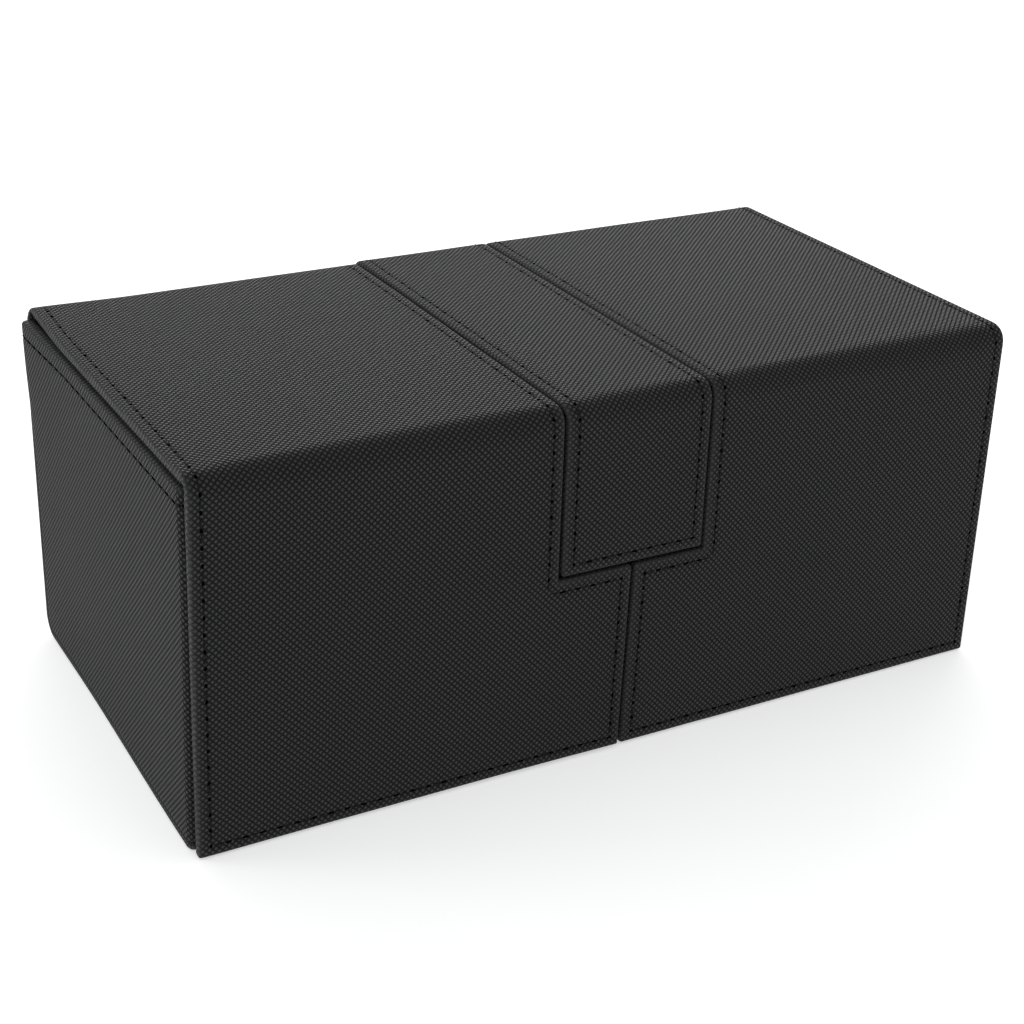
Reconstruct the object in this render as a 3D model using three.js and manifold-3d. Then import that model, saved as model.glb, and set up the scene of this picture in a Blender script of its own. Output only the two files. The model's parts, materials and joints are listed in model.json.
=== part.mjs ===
// A twin deck box for collectible cards. Two card compartments stand either side of a narrow middle
// compartment with a lift-out tray. Each compartment has its own lid, hinged along the back, and each lid
// ends in a flap that hangs over the front and is held by magnets. Every panel is a greyboard with an
// embossed cover glued to its outside and a soft lining glued to its inside.
//
// Millimetres. +Z is up, the flaps face -Y, +X is to the right seen from the front, and the origin is the
// middle of the footprint at the level of the table.

import * as THREE from "three";
import { mergeVertices } from "three/addons/utils/BufferGeometryUtils.js";
import Module from "manifold-3d";

const wasm = await Module();
wasm.setup();

// ---------------------------------------------------------------- driving dimensions

const width = 210; // over the two end covers
const depth = 112.2; // from the faces of the flaps to the back
const height = 89.4; // from the table to the tops of the lids

const coverThickness = 1.0; // embossed synthetic leather
const boardThickness = 1.4; // greyboard
const liningThickness = 0.6; // microfibre
const glueGap = 0.15; // between the layers of one panel
const play = 0.3; // between a closed flap and the case
const lidRest = 0.5; // between a closed lid and the tops of the walls

const strapWidth = 37.2; // the middle lid and its tongue
const slitWidth = 0.8; // between neighbouring lids and flaps
const tongueLength = 41; // from the tops of the lids down to the end of the tongue
const lidInset = 0.6; // how far the lids stop short of the case's ends
const flapClearance = 0.6; // between the flaps and the table

const foldRadius = 4.6; // outside radius of the fold between a lid and its flap
const hingeRadius = 5; // outside radius of the hinge at the top of the back
const heelRadius = 5.5; // outside radius where the bottom turns up into the back
const cornerRadius = 1.2; // free corners of the flaps and the tongue
const leastCorner = 0.3; // of the boards inside those corners

const magnetDiameter = 12;
const keeperDiameter = 14;
const discSlack = 0.1; // the discs are this much thinner than their board
const pocketClearance = 0.2; // around each disc in its pocket
const flapMagnetHeight = 18; // above the table
const outerMagnetInset = 20; // in from the outer edge of a side flap
const innerMagnetInset = 16; // in from the middle of the box
const tongueMagnetInset = 14; // up from the end of the tongue

const trayHeadroom = 24; // from the rim of the tray up to the tops of the walls
const trayWall = 1.8;
const trayPlay = 0.5; // around the tray in the middle compartment
const scoopRadius = 9; // finger cut-outs in the ends of the tray

const dividerEndPlay = 4; // from each end of a divider to the lining
const dividerHeadroom = 3; // from the top of its tab up to the tops of the walls
const dividerThickness = 0.8;
const dividerPlay = 0.5; // between a divider and the partition it leans on
const dividerCorner = 4;
const tabLength = 30; // the grip on top of a divider
const tabHeight = 5;

// ---------------------------------------------------------------- faces worked out from them

const halfWidth = width / 2;
const frontFace = -depth / 2;
const backFace = depth / 2;
const skin = coverThickness + glueGap; // from a cover's outside to its board
const panel = skin + boardThickness + glueGap + liningThickness;
const stripThickness = coverThickness + glueGap + liningThickness;

const lidUnderside = height - panel;
const wallTop = lidUnderside - lidRest;
const boardTop = wallTop - skin; // the covers turn over the tops of the walls
const caseFront = frontFace + panel + play;

const slitMiddle = strapWidth / 2 + slitWidth / 2;
const lidFrontEnd = frontFace + foldRadius;
const lidBackEnd = backFace - hingeRadius;
const flapTop = height - foldRadius;
const flapBottom = flapClearance;
const tongueBottom = height - tongueLength;
const ledge = tongueBottom - slitWidth; // top of the side flaps below the tongue

// ---------------------------------------------------------------- materials

const coverMaterial = new THREE.MeshStandardMaterial({ color: 0x2e2f31, roughness: 0.62, metalness: 0 });
const liningMaterial = new THREE.MeshStandardMaterial({ color: 0x3b3c40, roughness: 0.95, metalness: 0 });
const boardMaterial = new THREE.MeshStandardMaterial({ color: 0x8f8a80, roughness: 0.9, metalness: 0 });
const magnetMaterial = new THREE.MeshStandardMaterial({ color: 0xb9bcc0, roughness: 0.3, metalness: 1 });
const keeperMaterial = new THREE.MeshStandardMaterial({ color: 0x8d9094, roughness: 0.45, metalness: 1 });
const trayMaterial = new THREE.MeshStandardMaterial({ color: 0x2b2c2f, roughness: 0.8, metalness: 0 });
const dividerMaterial = new THREE.MeshStandardMaterial({ color: 0x26272a, roughness: 0.5, metalness: 0 });

// ---------------------------------------------------------------- shapes

const part = new THREE.Group();

function addPiece(name, geometry, material) {
  const mesh = new THREE.Mesh(geometry, material);
  mesh.name = name;
  part.add(mesh);
}

// A block between two values on each axis, given in either order.
function block(xs, ys, zs) {
  const spans = [xs, ys, zs];
  const sizes = spans.map(([a, b]) => Math.abs(b - a));
  const middles = spans.map(([a, b]) => (a + b) / 2);
  return new THREE.BoxGeometry(...sizes).translate(...middles);
}

// An outline of corners [u, v, radius], with each corner that has a radius rounded off.
function outline(corners, steps = 5) {
  const points = [];
  corners.forEach(([u, v, radius = 0], i) => {
    const corner = new THREE.Vector2(u, v);
    if (radius === 0) {
      points.push(corner);
      return;
    }
    const before = new THREE.Vector2(...corners.at(i - 1)).sub(corner).normalize();
    const after = new THREE.Vector2(...corners[(i + 1) % corners.length]).sub(corner).normalize();
    const half = Math.acos(before.dot(after)) / 2;
    const toCentre = before.clone().add(after).normalize();
    const centre = corner.clone().addScaledVector(toCentre, radius / Math.sin(half));
    const from = corner.clone().addScaledVector(before, radius / Math.tan(half)).sub(centre);
    const to = corner.clone().addScaledVector(after, radius / Math.tan(half)).sub(centre);
    const turn = Math.atan2(from.cross(to), from.dot(to));
    for (let k = 0; k <= steps; k++) {
      points.push(from.clone().rotateAround(new THREE.Vector2(), (turn * k) / steps).add(centre));
    }
  });
  return points;
}

function prism(points, length) {
  return new THREE.ExtrudeGeometry(new THREE.Shape(points), { depth: length, bevelEnabled: false });
}

// An outline of (y, z) points swept along X.
function prismAlongX(points, [from, to]) {
  const turn = new THREE.Matrix4().makeBasis(
    new THREE.Vector3(0, 1, 0),
    new THREE.Vector3(0, 0, 1),
    new THREE.Vector3(1, 0, 0),
  );
  return prism(points, Math.abs(to - from)).applyMatrix4(turn).translate(Math.min(from, to), 0, 0);
}

// An outline of (x, z) points swept along Y.
function prismAlongY(points, [from, to]) {
  const turn = new THREE.Matrix4().makeBasis(
    new THREE.Vector3(1, 0, 0),
    new THREE.Vector3(0, 0, 1),
    new THREE.Vector3(0, -1, 0),
  );
  return prism(points, Math.abs(to - from)).applyMatrix4(turn).translate(0, Math.max(from, to), 0);
}

function disc(x, z, diameter, [from, to]) {
  const length = Math.abs(to - from);
  const geometry = new THREE.CylinderGeometry(diameter / 2, diameter / 2, length, 32);
  return geometry.translate(0, (from + to) / 2, 0).translate(x, 0, z);
}

function solidOf(geometry) {
  const bare = geometry.clone();
  bare.deleteAttribute("normal");
  bare.deleteAttribute("uv");
  const merged = mergeVertices(bare, 1e-4);
  const mesh = new wasm.Mesh({
    numProp: 3,
    vertProperties: merged.attributes.position.array,
    triVerts: new Uint32Array(merged.index.array),
  });
  return new wasm.Manifold(mesh);
}

function geometryOf(solid) {
  const mesh = solid.getMesh();
  const geometry = new THREE.BufferGeometry();
  geometry.setAttribute("position", new THREE.BufferAttribute(mesh.vertProperties, 3));
  geometry.setIndex(new THREE.BufferAttribute(mesh.triVerts, 1));
  geometry.computeVertexNormals();
  return geometry;
}

function cut(geometry, ...tools) {
  const solid = tools.reduce((left, tool) => left.subtract(solidOf(tool)), solidOf(geometry));
  return geometryOf(solid);
}

function join(geometry, ...others) {
  const solid = others.reduce((sum, other) => sum.add(solidOf(other)), solidOf(geometry));
  return geometryOf(solid);
}

// The layers of a panel whose outside is at outer and whose inside lies in the direction inward (1 or -1).
function layers(outer, inward) {
  const board = outer + inward * skin;
  const lining = board + inward * (boardThickness + glueGap);
  return {
    cover: [outer, outer + inward * coverThickness],
    board: [board, board + inward * boardThickness],
    lining: [lining, lining + inward * liningThickness],
    inside: lining + inward * liningThickness,
  };
}

// A quarter turn of soft strip about (y, z), outside radius given, from one straight panel to the next.
function quarterStrip(y, z, radius, towardsY, xs) {
  const shy = glueGap / radius;
  const inner = radius - stripThickness;
  const steps = 10;
  const points = [];
  for (let k = 0; k <= steps; k++) {
    const angle = shy + ((Math.PI / 2 - 2 * shy) * k) / steps;
    points.push([y + towardsY * radius * Math.cos(angle), z + radius * Math.sin(angle)]);
  }
  for (let k = steps; k >= 0; k--) {
    const angle = shy + ((Math.PI / 2 - 2 * shy) * k) / steps;
    points.push([y + towardsY * inner * Math.cos(angle), z + inner * Math.sin(angle)]);
  }
  return prismAlongX(points.map(([a, b]) => new THREE.Vector2(a, b)), xs);
}

const endLayers = layers(halfWidth, -1);
const backLayers = layers(backFace, -1);
const frontLayers = layers(caseFront, 1);
const bottomLayers = layers(0, 1);
const lidLayers = layers(height, -1);
const flapLayers = layers(frontFace, 1);

const betweenEnds = endLayers.board[1] - glueGap; // half the length of what fits between the end boards

// ---------------------------------------------------------------- case

const sides = [
  { side: "left", sign: -1 },
  { side: "right", sign: 1 },
];

// Where the magnets of the flaps meet the keepers in the front wall: [name, x, z].
const closures = [
  ["tongue", 0, tongueBottom + tongueMagnetInset],
  ...sides.flatMap(({ side, sign }) => [
    [`${side}_outer`, sign * (halfWidth - lidInset - outerMagnetInset), flapMagnetHeight],
    [`${side}_inner`, sign * innerMagnetInset, flapMagnetHeight],
  ]),
];

function inBoard([from, to]) {
  const [low, high] = [Math.min(from, to), Math.max(from, to)];
  return [low + discSlack / 2, high - discSlack / 2];
}

function pockets(places, diameter, [from, to]) {
  const [low, high] = [Math.min(from, to) - 1, Math.max(from, to) + 1];
  return places.map(([, x, z]) => disc(x, z, diameter + 2 * pocketClearance, [low, high]));
}

function addBottomAndBack() {
  const heelStart = backFace - heelRadius;
  addPiece(
    "bottom_cover",
    block([-halfWidth, halfWidth], [caseFront, heelStart - glueGap], bottomLayers.cover),
    coverMaterial,
  );
  addPiece(
    "bottom_board",
    block([-betweenEnds, betweenEnds], [frontLayers.board[0], heelStart], bottomLayers.board),
    boardMaterial,
  );

  // The back cover turns under at the heel to meet the bottom cover.
  const backTop = height - hingeRadius;
  const backProfile = outline([
    [heelStart, 0],
    [backFace, 0, heelRadius],
    [backFace, backTop],
    [backFace - coverThickness, backTop],
    [backFace - coverThickness, coverThickness, heelRadius - coverThickness],
    [heelStart, coverThickness],
  ]);
  addPiece("back_cover", prismAlongX(backProfile, [-halfWidth, halfWidth]), coverMaterial);
  addPiece(
    "back_board",
    block([-betweenEnds, betweenEnds], backLayers.board, [heelRadius, backTop]),
    boardMaterial,
  );
}

function addFrontWall() {
  const coverHalf = halfWidth - skin; // the end covers lap over its ends
  const sheet = block([-coverHalf, coverHalf], frontLayers.cover, [skin, wallTop]);
  const lip = block(
    [-coverHalf, coverHalf],
    [caseFront, frontLayers.inside],
    [wallTop - coverThickness, wallTop],
  );
  addPiece("front_cover", join(sheet, lip), coverMaterial);
  const wall = block(
    [-betweenEnds, betweenEnds],
    frontLayers.board,
    [bottomLayers.board[1] + glueGap, boardTop],
  );
  addPiece(
    "front_board",
    cut(wall, ...pockets(closures, keeperDiameter, frontLayers.board)),
    boardMaterial,
  );
  for (const [place, x, z] of closures) {
    addPiece(`${place}_keeper`, disc(x, z, keeperDiameter, inBoard(frontLayers.board)), keeperMaterial);
  }
}

function addEndWall({ side, sign }) {
  const face = (faceLayers) => faceLayers.map((x) => sign * x);
  const backEdge = backFace - skin;
  const plate = outline([
    [caseFront, skin],
    [backEdge, skin, heelRadius - skin],
    [backEdge, wallTop],
    [caseFront, wallTop],
  ]);
  const lip = block(
    face([halfWidth, endLayers.inside]),
    [frontLayers.inside + glueGap, lidBackEnd],
    [wallTop - coverThickness, wallTop],
  );
  addPiece(`${side}_end_cover`, join(prismAlongX(plate, face(endLayers.cover)), lip), coverMaterial);
  const boardOutline = outline([
    [frontLayers.board[0], skin],
    [backEdge, skin, heelRadius - skin],
    [backEdge, boardTop],
    [frontLayers.board[0], boardTop],
  ]);
  addPiece(`${side}_end_board`, prismAlongX(boardOutline, face(endLayers.board)), boardMaterial);
}

// The two partitions stand under the slits between the lids.
function addPartition({ side, sign }) {
  const xs = [slitMiddle - boardThickness / 2, slitMiddle + boardThickness / 2];
  addPiece(
    `${side}_partition`,
    block(
      xs.map((x) => sign * x),
      [frontLayers.board[1] + glueGap, backLayers.board[1] - glueGap],
      [bottomLayers.board[1] + glueGap, boardTop],
    ),
    boardMaterial,
  );
}

const partitionFace = boardThickness / 2 + glueGap; // from the middle of a partition to its linings
const liningTop = Math.min(boardTop, height - hingeRadius);

// A folded lining: the four walls and the floor of one compartment, with anything else it covers.
function liningTray([from, to], ...extras) {
  const outside = block(
    [from, to],
    [frontLayers.lining[0], backLayers.lining[0]],
    [bottomLayers.lining[0], liningTop],
  );
  const hollow = block(
    [from + liningThickness, to - liningThickness],
    [frontLayers.inside, backLayers.inside],
    [bottomLayers.inside, height],
  );
  return cut(join(outside, ...extras), hollow);
}

function addLinings() {
  const outer = Math.abs(endLayers.lining[0]);
  const inner = slitMiddle + partitionFace;
  addPiece("left_lining", liningTray([-outer, -inner]), liningMaterial);
  addPiece("right_lining", liningTray([inner, outer]), liningMaterial);
  // The middle lining also rises past the other two and turns over the tops of both partitions.
  const half = slitMiddle - partitionFace;
  const over = inner + liningThickness;
  const between = [frontLayers.inside + glueGap, backLayers.inside - glueGap];
  const riser = block([-half, half], between, [bottomLayers.inside, wallTop]);
  const turned = block([-over, over], between, [wallTop - liningThickness, wallTop]);
  addPiece("middle_lining", liningTray([-half, half], riser, turned), liningMaterial);
}

// ---------------------------------------------------------------- what stands in the case

const middleHalf = slitMiddle - partitionFace - liningThickness; // half the middle compartment's width

function addTray() {
  const xs = [-(middleHalf - trayPlay), middleHalf - trayPlay];
  const ys = [frontLayers.inside + trayPlay, backLayers.inside - trayPlay];
  const floor = bottomLayers.inside + play;
  const rim = wallTop - trayHeadroom;
  const outside = block(xs, ys, [floor, rim]);
  const hollow = block(
    [xs[0] + trayWall, xs[1] - trayWall],
    [ys[0] + trayWall, ys[1] - trayWall],
    [floor + trayWall, rim + 1],
  );
  const scoop = disc(0, rim, 2 * scoopRadius, [ys[0] - 1, ys[1] + 1]);
  addPiece("lift_out_tray", cut(outside, hollow, scoop), trayMaterial);
}

// A divider with a grip tab leans on the partition of each card compartment.
function addDivider({ side, sign }) {
  const near = slitMiddle + partitionFace + liningThickness + dividerPlay;
  const middle = (frontLayers.inside + backLayers.inside) / 2;
  const [front, back] = [frontLayers.inside + dividerEndPlay, backLayers.inside - dividerEndPlay];
  const foot = bottomLayers.inside + play;
  const shoulder = wallTop - dividerHeadroom - tabHeight;
  const plate = outline([
    [front, foot, dividerCorner],
    [back, foot, dividerCorner],
    [back, shoulder, dividerCorner],
    [middle + tabLength / 2, shoulder],
    [middle + tabLength / 2, shoulder + tabHeight, dividerCorner],
    [middle - tabLength / 2, shoulder + tabHeight, dividerCorner],
    [middle - tabLength / 2, shoulder],
    [front, shoulder, dividerCorner],
  ]);
  const xs = [sign * near, sign * (near + dividerThickness)];
  addPiece(`${side}_divider`, prismAlongX(plate, xs), dividerMaterial);
}

// ---------------------------------------------------------------- lids

// A lid's cover is turned over the two long edges of its board.
function addLid(name, [left, right]) {
  const ys = [lidFrontEnd, lidBackEnd];
  const turnedEdge = lidLayers.board[1];
  const cover = cut(
    block([left, right], ys, [height, turnedEdge]),
    block(
      [left + coverThickness, right - coverThickness],
      [ys[0] - 1, ys[1] + 1],
      [lidLayers.cover[1], turnedEdge - 1],
    ),
  );
  addPiece(`${name}_cover`, cover, coverMaterial);
  addPiece(`${name}_board`, block([left + skin, right - skin], ys, lidLayers.board), boardMaterial);
  addPiece(`${name}_lining`, block([left, right], ys, lidLayers.lining), liningMaterial);

  const hingeReach = betweenEnds - skin; // the hinges stay between the ends of the case
  const hingeXs = [Math.max(left, -hingeReach), Math.min(right, hingeReach)];
  const hinge = quarterStrip(lidBackEnd, height - hingeRadius, hingeRadius, 1, hingeXs);
  addPiece(`${name}_hinge`, hinge, coverMaterial);
  const fold = quarterStrip(lidFrontEnd, flapTop, foldRadius, -1, [left, right]);
  addPiece(`${name}_fold`, fold, coverMaterial);
}

// ---------------------------------------------------------------- flaps

// The outline of a side flap drawn in by inset from its free edges. The part of the flap below the tongue
// reaches in to the middle of the box.
function sideFlapOutline(sign, inset, top) {
  const outer = halfWidth - lidInset - inset;
  const besideTongue = strapWidth / 2 + slitWidth + inset;
  const inner = slitWidth / 2 + inset;
  const bottom = flapBottom + inset;
  const radius = Math.max(cornerRadius - inset, leastCorner);
  return outline([
    [sign * outer, bottom, radius],
    [sign * inner, bottom, radius],
    [sign * inner, ledge - inset, radius],
    [sign * besideTongue, ledge - inset, radius],
    [sign * besideTongue, top],
    [sign * outer, top],
  ]);
}

function tongueOutline(inset, top) {
  const half = strapWidth / 2 - inset;
  const radius = Math.max(cornerRadius - inset, leastCorner);
  return outline([
    [-half, tongueBottom + inset, radius],
    [half, tongueBottom + inset, radius],
    [half, top],
    [-half, top],
  ]);
}

// A flap's cover is turned over all the edges of its board but the top one, where the fold begins.
function addFlap(name, outlineAt, magnets) {
  const turnedEdge = flapLayers.board[1];
  const full = prismAlongY(outlineAt(0, flapTop), [frontFace, turnedEdge]);
  const hollow = prismAlongY(outlineAt(coverThickness, flapTop + 1), [flapLayers.cover[1], turnedEdge + 1]);
  addPiece(`${name}_cover`, cut(full, hollow), coverMaterial);
  const board = prismAlongY(outlineAt(skin, flapTop), flapLayers.board);
  addPiece(`${name}_board`, cut(board, ...pockets(magnets, magnetDiameter, flapLayers.board)), boardMaterial);
  addPiece(`${name}_lining`, prismAlongY(outlineAt(0, flapTop), flapLayers.lining), liningMaterial);
  for (const [place, x, z] of magnets) {
    addPiece(`${place}_magnet`, disc(x, z, magnetDiameter, inBoard(flapLayers.board)), magnetMaterial);
  }
}

addBottomAndBack();
addFrontWall();
sides.forEach(addEndWall);
sides.forEach(addPartition);
addLinings();
addTray();
sides.forEach(addDivider);

const lidOuter = halfWidth - lidInset;
const lidInner = strapWidth / 2 + slitWidth;
addLid("strap", [-strapWidth / 2, strapWidth / 2]);
addFlap("tongue", tongueOutline, closures.filter(([place]) => place === "tongue"));
for (const { side, sign } of sides) {
  addLid(`${side}_lid`, [sign * lidOuter, sign * lidInner].sort((a, b) => a - b));
  const magnets = closures.filter(([place]) => place.startsWith(side));
  addFlap(`${side}_flap`, (inset, top) => sideFlapOutline(sign, inset, top), magnets);
}

export default part;
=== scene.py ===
"""The looks of a twin flip-lid deck box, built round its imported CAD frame.

Every cover is one continuous sheet of embossed synthetic leather. It is laid out flat first: u runs along the
box's length and s along the path that the sheet follows round the edges. place() then bends that flat layout
onto the box, so the emboss, the seams and the stitches all stay continuous over folds and hinges.
Lengths in this file are millimetres until a mesh is made.
"""

import json
import math

import bmesh
import bpy
import numpy as np
from mathutils import Euler, Matrix, Vector


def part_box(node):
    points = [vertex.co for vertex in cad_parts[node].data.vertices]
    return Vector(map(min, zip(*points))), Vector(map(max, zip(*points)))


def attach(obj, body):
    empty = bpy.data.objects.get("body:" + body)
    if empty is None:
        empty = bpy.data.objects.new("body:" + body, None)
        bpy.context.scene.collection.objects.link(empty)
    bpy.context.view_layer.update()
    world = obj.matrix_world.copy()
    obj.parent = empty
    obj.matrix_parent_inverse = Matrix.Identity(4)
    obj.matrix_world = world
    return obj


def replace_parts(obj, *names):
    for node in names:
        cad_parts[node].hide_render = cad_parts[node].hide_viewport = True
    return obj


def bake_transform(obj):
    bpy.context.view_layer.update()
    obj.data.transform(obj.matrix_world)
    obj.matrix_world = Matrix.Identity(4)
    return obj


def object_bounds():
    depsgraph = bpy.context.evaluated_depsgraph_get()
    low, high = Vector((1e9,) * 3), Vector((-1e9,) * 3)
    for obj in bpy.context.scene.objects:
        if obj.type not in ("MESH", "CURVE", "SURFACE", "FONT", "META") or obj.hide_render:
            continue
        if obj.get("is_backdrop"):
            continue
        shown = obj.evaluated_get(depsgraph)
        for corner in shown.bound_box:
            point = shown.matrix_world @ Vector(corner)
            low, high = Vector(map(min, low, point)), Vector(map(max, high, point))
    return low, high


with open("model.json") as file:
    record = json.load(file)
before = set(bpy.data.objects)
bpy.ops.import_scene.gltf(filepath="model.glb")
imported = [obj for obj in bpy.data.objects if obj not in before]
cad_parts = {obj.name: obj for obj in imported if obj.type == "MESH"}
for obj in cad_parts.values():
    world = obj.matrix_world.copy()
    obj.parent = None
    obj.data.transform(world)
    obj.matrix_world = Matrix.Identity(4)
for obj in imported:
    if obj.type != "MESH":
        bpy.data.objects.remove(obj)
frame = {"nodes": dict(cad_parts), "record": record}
cad_low, cad_high = (list(corner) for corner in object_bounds())

MM = 0.001


# ---------------------------------------------------------------- sizes, read from the frame

def node_box(name):
    """Lowest and highest corner of a CAD node, in millimetres."""
    low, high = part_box(name)
    return np.array(low) / MM, np.array(high) / MM


HALF_X = cad_high[0] / MM
BACK_Y = cad_high[1] / MM
FRONT_Y = cad_low[1] / MM
TOP_Z = cad_high[2] / MM

lid_low, lid_high = node_box("left_lid_cover")
flap_low, flap_high = node_box("left_flap_cover")
end_low, end_high = node_box("left_end_cover")

LID_OUTER = -lid_low[0]
LID_INNER = -lid_high[0]
STRAP_HALF = node_box("strap_cover")[1][0]
SLIT = LID_INNER - STRAP_HALF
FLAP_INNER = -flap_high[0]
FLAP_BOTTOM = flap_low[2]
TONGUE_BOTTOM = node_box("tongue_cover")[0][2]
LEDGE_Z = TONGUE_BOTTOM - SLIT
FOLD_RADIUS = TOP_Z - flap_high[2]
HINGE_RADIUS = TOP_Z - node_box("back_cover")[1][2]
PANEL = TOP_Z - node_box("left_lid_lining")[0][2]
WALL_TOP = end_high[2]
CASE_FRONT = end_low[1]
HEEL_RADIUS = BACK_Y - node_box("bottom_cover")[1][1]
BOARD_TOP = node_box("left_end_board")[1][2]

EDGE_RADIUS = 0.85  # of a cover turned over its board
TURN_DEPTH = 2.7  # through which it is turned
SHEET = 0.6  # thickness of the embossed sheet
STITCH_INSET = 2.7
STITCH_PITCH = 3.9
THREAD_RADIUS = 0.22
CHANNEL_DEPTH = 0.13  # how far the stitching pulls the sheet in
CHANNEL_WIDTH = 0.5
CORNER_RADIUS = 0.7  # free corners of the flaps
EMBOSS_PITCH = 1.045  # between neighbouring grooves of the emboss
EMBOSS_RELIEF = 0.00042  # metres: how high the bump in the material makes its pillows
ON_EDGE = 1e-6  # a point this near the edge of a sheet is on it


# ---------------------------------------------------------------- paths

class Path:
    """A line in a plane made of straight stretches and arcs. The outside is on its right."""

    def __init__(self, start, heading, *stretches):
        self.stretches = []
        at, angle, s = np.array(start, float), math.radians(heading), 0.0
        for length, radius in stretches:
            self.stretches.append((s, length, radius, at.copy(), angle))
            if radius:
                turn = length / radius
                centre = at + radius * np.array([-math.sin(angle), math.cos(angle)])
                angle += turn
                at = centre - radius * np.array([-math.sin(angle), math.cos(angle)])
            else:
                at = at + length * np.array([math.cos(angle), math.sin(angle)])
            s += length
        self.length = s

    def at(self, s):
        """Points and outward normals at the distances s."""
        s = np.asarray(s, float)
        points, normals = np.zeros(s.shape + (2,)), np.zeros(s.shape + (2,))
        last = len(self.stretches) - 1
        for i, (begin, length, radius, origin, angle) in enumerate(self.stretches):
            here = (s >= begin) & ((s <= begin + length) | (i == last))
            if i == 0:
                here |= s < begin
            t = s[here] - begin
            turned = angle + (t / radius if radius else 0 * t)
            if radius:
                centre = origin + radius * np.array([-math.sin(angle), math.cos(angle)])
                points[here] = centre + radius * np.stack([np.sin(turned), -np.cos(turned)], -1)
            else:
                points[here] = origin + t[:, None] * np.array([math.cos(angle), math.sin(angle)])
            normals[here] = np.stack([np.sin(turned), -np.cos(turned)], -1)
        return points, normals


def quarter(radius):
    return radius * math.pi / 2, radius


def straight(length):
    return length, 0


# ---------------------------------------------------------------- grids

def edge_steps():
    """Distances from a free edge at which a grid has lines: the round edge, then the stitched channel."""
    rolled = [EDGE_RADIUS * (1 - math.cos(math.radians(a))) for a in (0, 18, 36, 54, 72, 90)]
    channel = [STITCH_INSET + CHANNEL_WIDTH * k for k in (-1.6, -1.0, -0.5, 0, 0.5, 1.0, 1.6)]
    return rolled + channel + [5.0, 7.0]


def lines(low, high, step, from_low=True, from_high=True, extra=()):
    """Sorted grid lines from low to high, fine near the free edges and no further apart than step."""
    marks = {low, high, *extra}
    near = edge_steps()
    if from_low:
        marks |= {low + d for d in near if low + d < high}
    if from_high:
        marks |= {high - d for d in near if high - d > low}
    marks = sorted(marks)
    kept = [marks[0]]
    for m in marks[1:]:
        if m - kept[-1] < 0.02:
            continue
        count = max(1, math.ceil((m - kept[-1]) / step))
        kept += [kept[-1] + (m - kept[-1]) * k / count for k in range(1, count + 1)]
    return np.array(kept)


def round_corners(u, s, distance, corners, radius):
    """Moves the grid points near each corner (u, s, inward u, inward s) onto a rounded outline."""
    for cu, cs, iu, is_ in corners:
        a = 1 - (u - cu) * iu / radius
        b = 1 - (s - cs) * is_ / radius
        near = (a > 0) & (b > 0) & (a <= 1.0001) & (b <= 1.0001)
        reach = np.maximum(a, b)
        shrink = np.where(near, reach / np.maximum(np.hypot(a, b), 1e-9), 1)
        u = np.where(near, cu + iu * radius * (1 - a * shrink), u)
        s = np.where(near, cs + is_ * radius * (1 - b * shrink), s)
        distance = np.where(near, np.minimum(distance, radius * (1 - reach)), distance)
    return u, s, distance


def smooth(t):
    t = np.clip(t, 0, 1)
    return t * t * (3 - 2 * t)


def undulation(u, s, seed):
    """Slow unevenness of a covered board, about -1 to 1."""
    phase = seed * 1.7
    return (
        np.sin(u / 17 + phase) * np.cos(s / 23 + 2 * phase)
        + 0.6 * np.sin(u / 9.1 + s / 13.3 + 3 * phase)
        + 0.4 * np.cos(u / 31 - s / 11.7 + phase)
    ) / 2


# ---------------------------------------------------------------- meshes

def new_object(name, vertices, faces, attributes=None):
    """A mesh object from vertices in millimetres, with per-vertex attributes."""
    mesh = bpy.data.meshes.new(name)
    mesh.from_pydata((np.asarray(vertices) * MM).tolist(), [], faces)
    for key, values in (attributes or {}).items():
        values = np.asarray(values, np.float32)
        if values.ndim == 2:
            made = mesh.attributes.new(key, "FLOAT_VECTOR", "POINT")
            made.data.foreach_set("vector", values.ravel())
        else:
            made = mesh.attributes.new(key, "FLOAT", "POINT")
            made.data.foreach_set("value", values)
    mesh.shade_smooth()
    mesh.update()
    obj = bpy.data.objects.new(name, mesh)
    bpy.context.scene.collection.objects.link(obj)
    return obj


def apply_modifiers(obj):
    bpy.context.view_layer.update()
    evaluated = obj.evaluated_get(bpy.context.evaluated_depsgraph_get())
    mesh = bpy.data.meshes.new_from_object(evaluated)
    obj.modifiers.clear()
    old, obj.data = obj.data, mesh
    bpy.data.meshes.remove(old)
    return obj


def thicken(obj, thickness):
    """Gives an open sheet its thickness, inwards."""
    solidify = obj.modifiers.new("thickness", "SOLIDIFY")
    solidify.thickness = thickness * MM
    solidify.offset = -1
    apply_modifiers(obj)
    obj.data.set_sharp_from_angle(angle=math.radians(50))
    return obj


def recalculate_normals(obj):
    bm = bmesh.new()
    bm.from_mesh(obj.data)
    bmesh.ops.recalc_face_normals(bm, faces=bm.faces)
    bm.to_mesh(obj.data)
    bm.free()


def border_loops(faces):
    """Directed border edges of a patch of faces, as a dict from vertex to next vertex."""
    count = {}
    for f in faces:
        for a, b in zip(f, f[1:] + f[:1]):
            count[a, b] = count.get((a, b), 0) + 1
    return {a: b for (a, b) in count if (b, a) not in count}


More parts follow.
